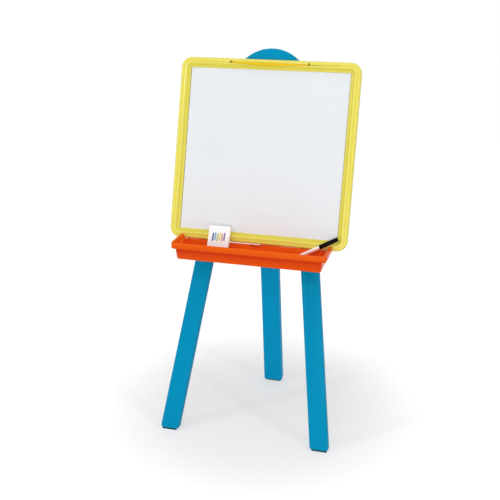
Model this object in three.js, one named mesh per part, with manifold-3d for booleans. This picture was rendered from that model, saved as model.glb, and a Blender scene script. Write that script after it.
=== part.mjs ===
// A free-standing plastic easel for children: three tapered legs meet under a round-topped
// head, a reversible square board hangs on the head, and a tray is screwed across the front
// legs. The rear leg folds in between the front legs on a steel pin.
//
// Millimetres, +Z up, the front of the board faces -Y. The origin is on the floor, under the
// middle of the footprint.
import * as THREE from "three";
import { mergeVertices } from "three/addons/utils/BufferGeometryUtils.js";
import Module from "manifold-3d";

const wasm = await Module();
wasm.setup();

// Driving dimensions.
const EASEL_HEIGHT = 1070;
const FRONT_LEAN = THREE.MathUtils.degToRad(17);
const REAR_LEAN = THREE.MathUtils.degToRad(8.45);
const FRONT_FOOT_SPREAD = 224.4; // middle of the easel to the middle of a front foot
const FRONT_LEG_SLOPE = 0.135; // how far a front leg closes in per millimetre of length
const REAR_FOOT_REACH = 369; // front of the front feet to the front of the rear foot
const FRONT_LEG = { width: 53.4, taper: 0.002, depth: 22 };
const REAR_LEG = { width: 57.8, taper: 0.003, depth: 25 };
const WALL = 3;
const GAP = 0.35; // clearance between pieces that touch
const EDGE_ROUND = 3.6; // rounding along the front edges of the legs
const FOOT_ROUND = 7.5; // rounding of a foot's lower corners
const SOLE = { thick: 4, inset: 5, front: 2 }; // the rubber under each foot, set in from the sides

const BOARD_SIZE = 515;
const BOARD_CORNER = 30;
const RAIL_WIDTH = 28;
const PANEL_THICKNESS = 2.3;
const BOARD_MIDDLE = 826.8; // up the leaning plane, from the floor to the board's middle
const HALF_FRAME = 11.5; // half the thickness of the board's frame
const BOARD_PLANE = -GAP - HALF_FRAME; // middle of the board, in front of the legs

const HEAD_RADIUS = 113;
const SHOULDER = 968; // up the leaning plane, where a leg enters the head
const SPIGOT_TOP = 1030;
const TONGUE_BOTTOM = 816; // lowest edge of the web between the front legs
const COVER_THICKNESS = 2.7;
const PIN_RADIUS = 4;

const TRAY = {
  floor: 518.6, // underside
  shelf: 550, // underside of the rim
  rimFront: 568.3, // top of the rim at the front
  rimEar: 564.6, // top of the rim where it ends beside the board
  backTop: 544.8, // top of the low wall behind and under the board
  front: 55.4, // front wall at the floor
  rimOut: 48, // front of the rim
  earBack: 142, // where the rim stops in front of the board
  half: 204, // half the length at the floor
  rimHalf: 219,
  wall: 2.8,
  frontDraft: 2.4, // how far the front wall leans out from the floor to the rim
  endDraft: 3.4,
};
const STEP = { top: 567, notchHalf: 15, notchDepth: 7, notchReach: 12 }; // under the board's edge

// Derived sizes.
const headTop = EASEL_HEIGHT / Math.cos(FRONT_LEAN);
const headCentre = headTop - HEAD_RADIUS;
const fold = FRONT_LEAN + REAR_LEAN; // angle between the rear leg and the plane of the front legs
const pinDepth = REAR_LEG.depth / 2; // behind the front of the front legs
const rearMiddleAtFloor = REAR_FOOT_REACH + REAR_LEG.depth / 2 / Math.cos(REAR_LEAN);
const pinHeight = hingeHeight();
const footprintFront = SOLE.front / Math.cos(FRONT_LEAN);
const footprintBack =
  REAR_FOOT_REACH + REAR_LEG.depth / Math.cos(REAR_LEAN) - SOLE.thick * Math.tan(REAR_LEAN);

const legMiddle = (s) => FRONT_FOOT_SPREAD - FRONT_LEG_SLOPE * s;
const legHalf = (s) => FRONT_LEG.width / 2 - FRONT_LEG.taper * s;
const rearLegLength = rearLegReach();
const rearHalf = (down) => REAR_LEG.width / 2 - REAR_LEG.taper * (rearLegLength - down);
const forkHalf = rearHalf(0) + 0.9;

// The pin lies where the middle line of the rear leg crosses the plane of the front legs.
function hingeHeight() {
  const lean = Math.tan(REAR_LEAN);
  const startY = pinDepth * Math.cos(FRONT_LEAN);
  const startZ = -pinDepth * Math.sin(FRONT_LEAN);
  const rise = Math.sin(FRONT_LEAN) + lean * Math.cos(FRONT_LEAN);
  return (rearMiddleAtFloor - startY - lean * startZ) / rise;
}

function rearLegReach() {
  const pinZ = pinHeight * Math.cos(FRONT_LEAN) - pinDepth * Math.sin(FRONT_LEAN);
  return pinZ / Math.cos(REAR_LEAN);
}

// Materials.
const plastic = (color, roughness = 0.38) =>
  new THREE.MeshStandardMaterial({ color, roughness, metalness: 0 });
const finish = {
  legs: plastic(0x008dbb),
  head: plastic(0x0895ca),
  tray: plastic(0xdc4e1c, 0.3),
  frame: plastic(0xe9dd53),
  clip: plastic(0xe6cd32),
  white: plastic(0xe8ecef, 0.2),
  slate: plastic(0x2c3330, 0.9),
  rubber: plastic(0x23272b, 0.85),
  black: plastic(0x101012, 0.3),
  card: plastic(0xf4f3ef, 0.7),
  steel: new THREE.MeshStandardMaterial({ color: 0xb9bcc0, roughness: 0.3, metalness: 1 }),
};

// Solids and meshes.
function solid(geometry) {
  const bare = geometry.clone();
  bare.deleteAttribute("normal");
  bare.deleteAttribute("uv");
  const merged = mergeVertices(bare, 1e-4);
  return new wasm.Manifold(new wasm.Mesh({
    numProp: 3,
    vertProperties: Float32Array.from(merged.attributes.position.array),
    triVerts: Uint32Array.from(merged.index.array),
  }));
}

function piece(name, shape, material) {
  const { vertProperties, triVerts } = shape.getMesh();
  const geometry = new THREE.BufferGeometry();
  geometry.setAttribute("position", new THREE.BufferAttribute(vertProperties, 3));
  geometry.setIndex(new THREE.BufferAttribute(triVerts, 1));
  geometry.computeVertexNormals();
  const mesh = new THREE.Mesh(geometry, material);
  mesh.name = name;
  return mesh;
}

const joined = (shapes) => shapes.reduce((whole, shape) => whole.add(shape));

// A closed outline through corners [x, y, radius], each corner rounded by its radius.
function outline(corners) {
  const shape = new THREE.Shape();
  const count = corners.length;
  corners.forEach(([x, y, radius = 0], i) => {
    const corner = new THREE.Vector2(x, y);
    const before = new THREE.Vector2(...corners[(i + count - 1) % count]);
    const after = new THREE.Vector2(...corners[(i + 1) % count]);
    const arrive = before.sub(corner).normalize();
    const leave = after.sub(corner).normalize();
    const half = Math.acos(THREE.MathUtils.clamp(arrive.dot(leave), -1, 1)) / 2;
    const cut = radius > 0 ? radius / Math.tan(half) : 0;
    const start = corner.clone().addScaledVector(arrive, cut);
    if (i === 0) shape.moveTo(start.x, start.y);
    else shape.lineTo(start.x, start.y);
    if (cut > 0) {
      const bisector = arrive.clone().add(leave).normalize();
      const centre = corner.clone().addScaledVector(bisector, radius / Math.sin(half));
      const end = corner.clone().addScaledVector(leave, cut);
      const from = Math.atan2(start.y - centre.y, start.x - centre.x);
      const to = Math.atan2(end.y - centre.y, end.x - centre.x);
      const clockwise = arrive.x * leave.y - arrive.y * leave.x > 0;
      shape.absarc(centre.x, centre.y, radius, from, to, clockwise);
    }
  });
  shape.closePath();
  return shape;
}

// A plate whose outline lies across (x) and up (z), between two depths (y).
function plate(shape, front, back, bevel = 0, curveSegments = 5, bevelSegments = 1) {
  const depth = back - front;
  const geometry = new THREE.ExtrudeGeometry(shape, {
    depth: depth - 2 * bevel,
    bevelEnabled: bevel > 0,
    bevelThickness: bevel,
    bevelSize: bevel,
    bevelOffset: -bevel,
    bevelSegments,
    curveSegments,
  });
  geometry.rotateX(Math.PI / 2);
  geometry.translate(0, back - bevel, 0);
  return solid(geometry);
}

// A moulding whose front edges are rounded and whose open back has sharp ones.
function moulding(shape, front, back, round, curveSegments = 5, roundSegments = 3) {
  const whole = plate(shape, front, back + round, round, curveSegments, roundSegments);
  return whole.trimByPlane([0, -1, 0], -back);
}

// A bar whose outline lies in depth (y) and height (z), between two places across (x).
function bar(shape, from, to, curveSegments = 6) {
  const geometry = new THREE.ExtrudeGeometry(shape, {
    depth: to - from,
    bevelEnabled: false,
    curveSegments,
  });
  const turn = new THREE.Matrix4().makeBasis(
    new THREE.Vector3(0, 1, 0),
    new THREE.Vector3(0, 0, 1),
    new THREE.Vector3(1, 0, 0),
  );
  geometry.applyMatrix4(turn);
  geometry.translate(from, 0, 0);
  return solid(geometry);
}

function block([x0, x1], [y0, y1], [z0, z1]) {
  const geometry = new THREE.BoxGeometry(x1 - x0, y1 - y0, z1 - z0);
  geometry.translate((x0 + x1) / 2, (y0 + y1) / 2, (z0 + z1) / 2);
  return solid(geometry);
}

// A round bar along x or y.
function rod(axis, radius, from, to, [a, b], sides = 12) {
  const geometry = new THREE.CylinderGeometry(radius, radius, to - from, sides);
  if (axis === "x") {
    geometry.rotateZ(-Math.PI / 2);
    geometry.translate((from + to) / 2, a, b);
  } else {
    geometry.translate(a, (from + to) / 2, b);
  }
  return solid(geometry);
}

// A skin through rings that all have the same number of points, closed at both ends.
function loft(rings) {
  const count = rings[0].points.length;
  const positions = rings.flatMap(({ points, z }) => points.flatMap(({ x, y }) => [x, y, z]));
  const faces = [];
  for (let r = 0; r < rings.length - 1; r += 1) {
    for (let i = 0; i < count; i += 1) {
      const a = r * count + i;
      const b = r * count + ((i + 1) % count);
      faces.push(a, b, b + count, a, b + count, a + count);
    }
  }
  const top = (rings.length - 1) * count;
  for (const [a, b, c] of THREE.ShapeUtils.triangulateShape(rings[0].points, [])) {
    faces.push(a, c, b);
  }
  for (const [a, b, c] of THREE.ShapeUtils.triangulateShape(rings.at(-1).points, [])) {
    faces.push(top + a, top + b, top + c);
  }
  const geometry = new THREE.BufferGeometry();
  geometry.setAttribute("position", new THREE.Float32BufferAttribute(positions, 3));
  geometry.setIndex(faces);
  return solid(geometry);
}

// Points round a rectangle with round corners, anticlockwise, the same number on each.
function roundedRectangle([x0, x1], [y0, y1], radius, perCorner = 5) {
  const points = [];
  const corners = [
    [x1 - radius, y1 - radius, 0],
    [x0 + radius, y1 - radius, 1],
    [x0 + radius, y0 + radius, 2],
    [x1 - radius, y0 + radius, 3],
  ];
  for (const [cx, cy, quarter] of corners) {
    for (let i = 0; i <= perCorner; i += 1) {
      const angle = (quarter + i / perCorner) * (Math.PI / 2);
      points.push(new THREE.Vector2(cx + radius * Math.cos(angle), cy + radius * Math.sin(angle)));
    }
  }
  return points;
}

// Everything below a level, seen from a frame that stands and leans as the placement says.
function below(level, placement) {
  const geometry = new THREE.BoxGeometry(1200, 1600, 400);
  geometry.translate(0, 0, level - 200);
  geometry.applyMatrix4(placement.clone().invert());
  return solid(geometry);
}

// Placements: the footprint's middle is the origin, and two frames lean from it.
const stance = new THREE.Group();
stance.position.y = -(footprintFront + footprintBack) / 2;
const frontPlane = new THREE.Group();
frontPlane.rotation.x = -FRONT_LEAN;
const rearPlane = new THREE.Group();
rearPlane.position.set(
  0,
  pinDepth * Math.cos(FRONT_LEAN) + pinHeight * Math.sin(FRONT_LEAN),
  pinHeight * Math.cos(FRONT_LEAN) - pinDepth * Math.sin(FRONT_LEAN),
);
rearPlane.rotation.x = REAR_LEAN;
frontPlane.updateMatrix();
rearPlane.updateMatrix();

// A leg is a tapered channel, open at the back, stiffened by a zigzag of ribs.
function triangleInset(points, distance) {
  const [a, b, c] = points.map(([x, y]) => new THREE.Vector2(x, y));
  const la = b.distanceTo(c);
  const lb = c.distanceTo(a);
  const lc = a.distanceTo(b);
  const around = la + lb + lc;
  const centre = a.clone().multiplyScalar(la).addScaledVector(b, lb).addScaledVector(c, lc);
  centre.divideScalar(around);
  const area = Math.abs((b.x - a.x) * (c.y - a.y) - (c.x - a.x) * (b.y - a.y)) / 2;
  const inner = (2 * area) / around;
  const scale = (inner - distance) / inner;
  return [a, b, c].map((p) => {
    const q = p.sub(centre).multiplyScalar(scale).add(centre);
    return [q.x, q.y];
  });
}

function zigzagPockets(from, to, cells, edge, front, back) {
  const pitch = (to - from) / cells;
  const rib = 1.2;
  const pockets = [];
  for (let i = 0; i <= cells; i += 1) {
    const side = i % 2 ? 1 : -1;
    const low = Math.max(from, from + (i - 1) * pitch);
    const high = Math.min(to, from + (i + 1) * pitch);
    const tip = from + i * pitch;
    const corners = [edge(low, side), edge(high, side), edge(tip, -side)];
    pockets.push(plate(outline(triangleInset(corners, rib)), front, back));
  }
  return joined(pockets);
}

function frontLegOutline(from, to, inset, foot = 0) {
  const edge = (s, side) => [legMiddle(s) + side * (legHalf(s) - inset), s];
  return outline([[...edge(from, -1), foot], [...edge(from, 1), foot], edge(to, 1), edge(to, -1)]);
}

// The screws of the tray are driven from inside the leg, in the middle of the tray's back wall.
const trayScrewHeight = 557;
const trayScrewSeat = 8; // how deep in the leg a screw's head sits
const trayScrewPlaces = [-11, 11].map((aside) => [legMiddle(trayScrewHeight) + aside, trayScrewHeight]);

function frontLeg() {
  const { depth } = FRONT_LEG;
  const toe = SOLE.thick / Math.cos(FRONT_LEAN);
  const shaft = moulding(frontLegOutline(toe, SHOULDER, 0, FOOT_ROUND), 0, depth, EDGE_ROUND);
  const spigot = plate(frontLegOutline(SHOULDER - 6, SPIGOT_TOP, WALL), WALL, depth - GAP);
  const edge = (s, side) => [legMiddle(s) + side * (legHalf(s) - WALL + 1.2), s];
  const pockets = zigzagPockets(48, SHOULDER - 10, 20, edge, WALL, depth + 2);
  const socket = plate(frontLegOutline(-30, 34, SOLE.inset + 2), SOLE.front + 2, depth - WALL);
  const bosses = trayScrewPlaces.map((place) => rod("y", 5, WALL - 1, trayScrewSeat, place));
  const bores = trayScrewPlaces.map((place) => rod("y", 2, -2, trayScrewSeat + 1, place));
  const access = trayScrewPlaces.map((place) => rod("y", 4.6, trayScrewSeat, depth + 2, place));
  const screwHole = rod("y", 2, 8, 30, [legMiddle(1000), 1000]);
  return joined([shaft.subtract(pockets).subtract(socket), spigot, ...bosses])
    .subtract(joined([...bores, ...access, screwHole]))
    .subtract(below(SOLE.thick, frontPlane.matrix));
}

function frontSole() {
  const { thick, inset, front } = SOLE;
  const back = FRONT_LEG.depth - front;
  const slab = plate(frontLegOutline(-20, 40, inset), front, back, 2.2, 5, 2)
    .subtract(below(0, frontPlane.matrix))
    .intersect(below(thick - GAP, frontPlane.matrix));
  const plug = frontLegOutline(-20, 26, inset + 2 + GAP);
  const grip = plate(plug, front + 2 + GAP, FRONT_LEG.depth - WALL - GAP);
  return slab.add(grip.subtract(below(1, frontPlane.matrix)));
}

const flipX = (shape) => shape.mirror([1, 0, 0]);

// The rear leg is drawn hanging from its pin, with z up the leg and y towards its back.
function rearLegOutline(from, to, inset, foot = 0) {
  const edge = (down, side) => [side * (rearHalf(down) - inset), -down];
  return outline([[...edge(to, -1), foot], [...edge(to, 1), foot], edge(from, 1), edge(from, -1)]);
}

function rearLeg() {
  const half = REAR_LEG.depth / 2;
  const lowestFront = half * Math.sin(REAR_LEAN);
  const toe = rearLegLength + (lowestFront - SOLE.thick) / Math.cos(REAR_LEAN);
  const shaft = moulding(rearLegOutline(18, toe, 0, FOOT_ROUND), -half, half, EDGE_ROUND);
  const neck = block([-rearHalf(0), rearHalf(0)], [-half, half], [-24, 0]);
  const barrel = rod("x", half, -rearHalf(0), rearHalf(0), [0, 0], 24);
  const edge = (z, side) => [side * (rearHalf(-z) - WALL + 1.2), z];
  const pockets = zigzagPockets(48 - rearLegLength, -34, 16, edge, WALL - half, half + 2);
  const hollow = rearLegOutline(rearLegLength - 34, rearLegLength + 30, SOLE.inset + 2);
  const socket = plate(hollow, SOLE.front + 2 - half, half - WALL);
  const bore = rod("x", PIN_RADIUS + GAP, -60, 60, [0, 0], 16);
  return joined([shaft.subtract(pockets).subtract(socket), neck, barrel])
    .subtract(bore)
    .subtract(below(SOLE.thick, rearPlane.matrix));
}

function rearSole() {
  const { thick, inset, front } = SOLE;
  const half = REAR_LEG.depth / 2;
  const strip = rearLegOutline(rearLegLength - 30, rearLegLength + 12, inset);
  const slab = plate(strip, front - half, half - front, 2.2, 5, 2)
    .subtract(below(0, rearPlane.matrix))
    .intersect(below(thick - GAP, rearPlane.matrix));
  const plug = rearLegOutline(rearLegLength - 26, rearLegLength + 12, inset + 2 + GAP);
  const grip = plate(plug, front + 2 + GAP - half, half - WALL - GAP);
  return slab.add(grip.subtract(below(1, rearPlane.matrix)));
}

// The head is one moulding: a round top, two sockets for the legs and a web down to the hinge.
function headOutline(inset) {
  const radius = HEAD_RADIUS - inset;
  const outer = (s) => legMiddle(s) + legHalf(s) - inset;
  const inner = (s) => legMiddle(s) - legHalf(s) - GAP - inset;
  const tangent = Math.atan(FRONT_LEG_SLOPE + FRONT_LEG.taper);
  const shape = new THREE.Shape();
  const low = SHOULDER + inset;
  const bottom = TONGUE_BOTTOM + inset;
  shape.moveTo(-outer(low), low);
  shape.lineTo(-inner(low), low);
  shape.lineTo(-inner(bottom), bottom);
  shape.lineTo(inner(bottom), bottom);
  shape.lineTo(inner(low), low);
  shape.lineTo(outer(low), low);
  shape.absarc(0, headCentre, radius, tangent, Math.PI - tangent, false);
  shape.closePath();
  return shape;
}

function legSocket(side) {
  const clear = WALL - GAP;
  const pocket = plate(frontLegOutline(SHOULDER - 20, SPIGOT_TOP + 1, clear), clear, 30);
  return side < 0 ? flipX(pocket) : pocket;
}

const headScrewPlaces = [
  [0, 1098],
  [-legMiddle(1000), 1000],
  [legMiddle(1000), 1000],
  [0, 986],
  [-60, 900],
  [60, 900],
];
const topScrews = headScrewPlaces.filter(([x]) => Math.abs(x) <= 60);

function headPockets() {
  const wall = 2.6;
  const inside = plate(headOutline(wall), wall, 30, 0, 10);
  const forkWall = forkHalf + WALL;
  const cells = [];
  const upright = [-120, -60, -20, 20, 60, 120];
  for (let i = 0; i < upright.length - 1; i += 1) {
    const across = [upright[i] + 1, upright[i + 1] - 1];
    cells.push(block(across, [0, 40], [SPIGOT_TOP + 4, 1078]));
  }
  cells.push(block([-80, -1], [0, 40], [1080, 1120]), block([1, 80], [0, 40], [1080, 1120]));
  const tall = (s) => legMiddle(s) - legHalf(s) - GAP;
  for (const [low, high] of [[pinHeight + 18, 930], [932, 1006], [1008, SPIGOT_TOP + 2]]) {
    const reach = Math.min(tall(high) - 1, tall(low) - 1);
    for (const [x0, x1] of [[-reach, -31], [-29, -1], [1, 29], [31, reach]]) {
      cells.push(block([x0, x1], [0, 40], [low, high]));
    }
  }
  for (const [x0, x1] of [[forkWall, 46], [48.5, 78]]) {
    cells.push(block([x0, x1], [0, 40], [TONGUE_BOTTOM, pinHeight + 16]));
    cells.push(block([-x1, -x0], [0, 40], [TONGUE_BOTTOM, pinHeight + 16]));
  }
  return inside.intersect(joined(cells));
}

function headFront() {
  const shell = plate(headOutline(0), 0, FRONT_LEG.depth, 2.6, 16, 2);
  const fork = block([-forkHalf, forkHalf], [-2, 40], [TONGUE_BOTTOM - 10, pinHeight + 14.5]);
  const bosses = topScrews.map(([x, s]) => rod("y", 4.6, 1, FRONT_LEG.depth, [x, s]));
  const bores = topScrews.map(([x, s]) => rod("y", 2, 6, 40, [x, s]));
  const pinRoom = PIN_RADIUS + GAP;
  const saddle = rod("x", pinRoom, -50, 50, [pinDepth, pinHeight])
    .add(block([-50, 50], [pinDepth, 40], [pinHeight - pinRoom, pinHeight + pinRoom]));
  const sockets = legSocket(1).add(legSocket(-1));
  const hookTop = BOARD_MIDDLE + BOARD_SIZE / 2 - RAIL_WIDTH - 0.6;
  const hook = outline([[1, hookTop - 12], [1, hookTop], [-8.4, hookTop], [-8.4, hookTop - 6]]);
  const hooks = [bar(hook, -72, -44), bar(hook, 44, 72)];
  return joined([shell.subtract(headPockets()), ...bosses])
    .subtract(joined([sockets, fork, saddle, ...bores]))
    .add(joined(hooks));
}

// The leg's back face when open, pushed out by a clearance: a line down and away from the pin.
function openBack(clearance, distance) {
  const out = REAR_LEG.depth / 2 + clearance;
  return [
    pinDepth + out * Math.cos(fold) + distance * Math.sin(fold),
    pinHeight + out * Math.sin(fold) - distance * Math.cos(fold),
  ];
}

function rearCover() {
  const front = FRONT_LEG.depth + GAP;
  const back = front + COVER_THICKNESS;
  const sheet = plate(headOutline(0), front, back, 0.8, 16);
  const cheeks = forkHalf + WALL + 2;
  const lip = openBack(4.5, 24);
  const hood = bar(outline([
    [front + 0.4, lip[1]],
    [lip[0], lip[1], 1.5],
    [lip[0] + 1, lip[1] + 12, 5],
    [back + 5, pinHeight + 26, 5],
    [front + 0.4, pinHeight + 29],
  ]), -cheeks, cheeks);
  const swing = bar(outline([
    [0, pinHeight + 9.6],
    [0, TONGUE_BOTTOM - 60],
    openBack(0.5, 120),
    openBack(0.5, 0),
    [pinDepth + 9.6, pinHeight + 9.6],
  ]), -forkHalf, forkHalf);
  const holes = headScrewPlaces.map(([x, s]) => rod("y", 2, front - 2, back + 2, [x, s]));
  const seats = headScrewPlaces.map(([x, s]) => rod("y", 4.1, back - 1.2, back + 2, [x, s]));
  const keeperHeight = [pinHeight - PIN_RADIUS, pinHeight + PIN_RADIUS];
  const keepers = [-43.7, 43.7].map((x) => block([x - 1.5, x + 1.5], [17.2, front + 0.4], keeperHeight));
  return joined([sheet, hood, ...keepers]).subtract(joined([swing, ...holes, ...seats]));
}

function hingePin() {
  const profile = [[0, 0], [3.2, 0], [PIN_RADIUS, 0.8], [PIN_RADIUS, 97.2], [3.2, 98], [0, 98]];
  const geometry = new THREE.LatheGeometry(profile.map((p) => new THREE.Vector2(...p)), 16);
  geometry.rotateZ(-Math.PI / 2);
  geometry.translate(-49, pinDepth, pinHeight);
  return solid(geometry);
}

// A pan-head screw along y, driven from the back, so that its head lies towards +y.
function screw(shank, head, length) {
  const points = [[0, -length], [shank * 0.5, -length], [shank, -length + 2], [shank, 0]];
  points.push([head, 0], [head, 0.9], [head * 0.72, 1.9], [0, 2.1]);
  return new THREE.LatheGeometry(points.map((p) => new THREE.Vector2(...p)), 10);
}

// The board: two frame halves clamp a white sheet and a slate sheet back to back.
const railProfile = [
  [0, 0.15], [0, 5], [0.6, 8], [2.2, 10.4], [4.6, 11.5], [7, 11.3], [8.8, 10.5], [12.2, 10.6],
  [14, 11.4], [16.2, 11.3], [18.2, 9.8], [21.6, 5.9], [27.2, 4.9], [RAIL_WIDTH, 4.2],
  [RAIL_WIDTH, PANEL_THICKNESS + GAP], [24, PANEL_THICKNESS + GAP], [24, 0.15], [20.8, 0.15],
  [20.8, 3.4], [16.8, 6.8], [3.2, 6.8], [3.2, 0.15],
];

function frameRing() {
  const perCorner = 5;
  const half = BOARD_SIZE / 2;
  const rings = railProfile.map(([inset, height]) => {
    const reach = half - inset;
    const radius = Math.max(BOARD_CORNER - inset, 2);
    return { points: roundedRectangle([-reach, reach], [-reach, reach], radius, perCorner), height };
  });
  const count = rings[0].points.length;
  const positions = rings.flatMap(({ points, height }) =>
    points.flatMap(({ x, y }) => [x, -height, y]));
  const faces = [];
  rings.forEach((ring, r) => {
    const next = (r + 1) % rings.length;
    for (let i = 0; i < count; i += 1) {
      const j = (i + 1) % count;
      const [a, b, c, d] = [r * count + i, r * count + j, next * count + j, next * count + i];
      faces.push(a, b, c, a, c, d);
    }
  });
  const geometry = new THREE.BufferGeometry();
  geometry.setAttribute("position", new THREE.Float32BufferAttribute(positions, 3));
  geometry.setIndex(faces);
  return solid(geometry);
}

const frameScrewInset = 9.8;
const frameScrewPlaces = [];
for (const side of [-1, 1]) {
  for (const along of [-1, 0, 1]) {
    const reach = BOARD_SIZE / 2 - frameScrewInset;
    frameScrewPlaces.push([side * reach, along * 190]);
  }
  frameScrewPlaces.push([0, side * (BOARD_SIZE / 2 - frameScrewInset)]);
}

const CLIP = { half: 110, arm: 1.6, slot: 3, pinInset: 10.4, pinLift: 8.9, pinRadius: 0.9 };

// The slot that an arm of the clip enters, and the blind hole for its pin beyond it.
function clipSlot() {
  const top = BOARD_SIZE / 2;
  const outer = CLIP.half + CLIP.slot;
  const slot = block([CLIP.half - CLIP.arm - GAP, outer], [-20, -3], [top - 13.6, top - 7.2]);
  const place = [-CLIP.pinLift, top - CLIP.pinInset];
  return slot.add(rod("x", CLIP.pinRadius + GAP, CLIP.half, outer + 2.4, place, 10));
}

function frameFront() {
  const bosses = frameScrewPlaces.map(([x, z]) => rod("y", 4.6, -8, -0.15, [x, z]));
  const bores = frameScrewPlaces.map(([x, z]) => rod("y", 1.6, -8.6, 2, [x, z]));
  const slots = [clipSlot(), flipX(clipSlot())];
  return joined([frameRing(), ...bosses]).subtract(joined([...bores, ...slots]));
}

function frameBack() {
  const ring = frameRing().mirror([0, 1, 0]);
  const bosses = frameScrewPlaces.map(([x, z]) => rod("y", 4.6, 0.15, 8, [x, z]));
  const holes = frameScrewPlaces.map(([x, z]) => rod("y", 2, -1, 20, [x, z]));
  const seats = frameScrewPlaces.map(([x, z]) => rod("y", 3.9, 8, 20, [x, z]));
  return joined([ring, ...bosses]).subtract(joined([...holes, ...seats]));
}

function panel(front, back) {
  const reach = BOARD_SIZE / 2 - 24 - GAP;
  const corners = [[-1, -1], [1, -1], [1, 1], [-1, 1]].map(([x, z]) => [x * reach, z * reach, 7]);
  return plate(outline(corners), front, back, 0, 3);
}

// The paper clip: a bowed bar along the top rail that turns in two slots.
function paperClip() {
  const { half, arm, slot, pinLift, pinRadius } = CLIP;
  const top = BOARD_SIZE / 2 - CLIP.pinInset;
  const shape = new THREE.Shape();
  shape.moveTo(-half, top);
  shape.lineTo(-half, top - 2.4);
  shape.quadraticCurveTo(0, top - 13.5, half, top - 2.4);
  shape.lineTo(half, top);
  shape.closePath();
  const lift = -HALF_FRAME - 0.25;
  const blade = plate(shape, lift - 1.8, lift, 0.4, 14);
  const armShape = outline([
    [lift - 1, top - 2.2],
    [lift - 1, top - 0.2],
    [-pinLift + 1.5, top + 1.3, 1.2],
    [-pinLift + 1.5, top - 1.5, 1.2],
  ]);
  const hinge = bar(armShape, half - arm, half, 2)
    .add(rod("x", pinRadius, half - arm / 2, half + slot + 1.8, [-pinLift, top], 8));
  return joined([blade, hinge, flipX(hinge)]);
}

// The tray: a tapered trough with an overhanging rim. Its back is cut to the lean of the legs,
// and steps up under the board's lower edge, with a notch to lift the board by.
function trayRing(z, out, trim = 0) {
  const rise = (z - TRAY.floor) / (TRAY.shelf - TRAY.floor);
  const half = TRAY.half + TRAY.endDraft * rise + out - trim;
  const front = TRAY.front - TRAY.frontDraft * rise - out * 0.6 + trim;
  return { z, points: roundedRectangle([-half, half], [front, 200], 7 - trim * 0.6) };
}

function rimRing(z, trim) {
  const half = TRAY.rimHalf - trim;
  return { z, points: roundedRectangle([-half, half], [TRAY.rimOut + trim, 200], 10.5 - trim * 0.6) };
}

// The step's outside (trim 0) or the room under it (trim by the wall), on the front plane.
function trayStep(trim, back) {
  const front = BOARD_PLANE - HALF_FRAME + trim;
  const top = STEP.top - trim;
  const profile = [[front, 400], [front, top, 1.4], [back, top], [back, 400]];
  const notchAcross = STEP.notchHalf + trim;
  const notchBack = front - trim + STEP.notchReach + trim;
  const notch = block(
    [-notchAcross, notchAcross],
    [front - 4, notchBack],
    [STEP.top - STEP.notchDepth - trim, STEP.top + 4],
  );
  return bar(outline(profile), -300, 300).subtract(notch);
}

function tray() {
  const { wall, floor, shelf, rimFront, rimEar, rimOut, rimHalf, earBack, backTop } = TRAY;
  const { half, endDraft } = TRAY;
  const ceiling = rimFront + 4;
  const outside = loft([
    trayRing(floor, 0, 3),
    trayRing(floor + 0.9, 0, 0.9),
    trayRing(floor + 3, 0),
    trayRing(shelf, 0),
    rimRing(shelf + 0.6, 1.2),
    rimRing(shelf + 2.5, 0),
    rimRing(ceiling, 0.8),
  ]);
  const inside = loft([
    trayRing(floor + wall, 0, wall + 1.5),
    trayRing(floor + wall + 2, 0, wall),
    trayRing(shelf + wall, 0, wall),
    trayRing(shelf + wall + 1.5, 4.5, wall - 0.2),
    trayRing(ceiling + 2, 4.5, wall - 0.4),
  ]);
  const slope = (rimEar - rimFront) / (earBack - rimOut);
  const overhead = bar(outline([
    [30, rimFront - slope * (rimOut - 30)],
    [earBack, rimEar, 4],
    [earBack, shelf - 0.1],
    [144.6, shelf - 0.1],
    [147, backTop + 4, 2],
    [160, backTop],
    [260, backTop],
    [260, 620],
    [30, 620],
  ]), -300, 300);
  const behind = block([-300, 300], [-GAP, 200], [300, 800]);
  const step = trayStep(0, 200).transform(frontPlane.matrix.elements);
  const underside = loft([
    trayRing(floor - 2, 0, wall + 2.5),
    trayRing(floor + 3, 0, wall),
    trayRing(shelf + 4, 0, wall),
  ]);
  const stepRoom = trayStep(wall, -GAP - wall).transform(frontPlane.matrix.elements);
  const underRim = loft([rimRing(shelf - 1, 2.2), rimRing(rimEar - wall, 2.2)]);
  const beside = block([half + endDraft + 5.8, rimHalf], [0, earBack - wall], [shelf - 2, rimEar]);
  const flangeRoom = underRim.intersect(beside);
  const bosses = trayScrewRods(4.4, -9, -GAP);
  const bores = trayScrewRods(2, -7.4, 2);
  return outside
    .subtract(inside.subtract(step))
    .subtract(joined([overhead, flangeRoom, flipX(flangeRoom), underside.intersect(stepRoom)]))
    .add(bosses.transform(frontPlane.matrix.elements))
    .subtract(joined([behind, bores]).transform(frontPlane.matrix.elements));
}

function trayScrewRods(radius, from, to) {
  const rods = trayScrewPlaces.map((place) => rod("y", radius, from, to, place));
  return joined([...rods, ...rods.map(flipX)]);
}

// Chalk in a glued carton: an upright sleeve, two end flaps and a row of sticks.
const CARTON = { width: 61, height: 79, depth: 13, card: 0.6, lean: 31, left: -133.5, foot: 103.6 };
const STICKS = { count: 6, radius: 4.7, length: 73 };

function cartonSleeve() {
  const { width, height, depth, card } = CARTON;
  const outer = block([0, width], [0, depth], [0, height]);
  return outer.subtract(block([card, width - card], [card, depth - card], [-1, height + 1]));
}

function cartonFlap(z) {
  const { width, depth, card } = CARTON;
  const rim = card + GAP;
  return block([rim, width - rim], [rim, depth - rim], [z, z + card]);
}

function chalkStick() {
  const { radius, length } = STICKS;
  const profile = [[0, 0], [radius * 0.9, 0], [radius, 1]];
  profile.push([radius * 0.86, length - 1], [radius * 0.78, length], [0, length]);
  const geometry = new THREE.LatheGeometry(profile.map((p) => new THREE.Vector2(...p)), 10);
  geometry.rotateX(Math.PI / 2);
  return solid(geometry);
}

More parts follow.
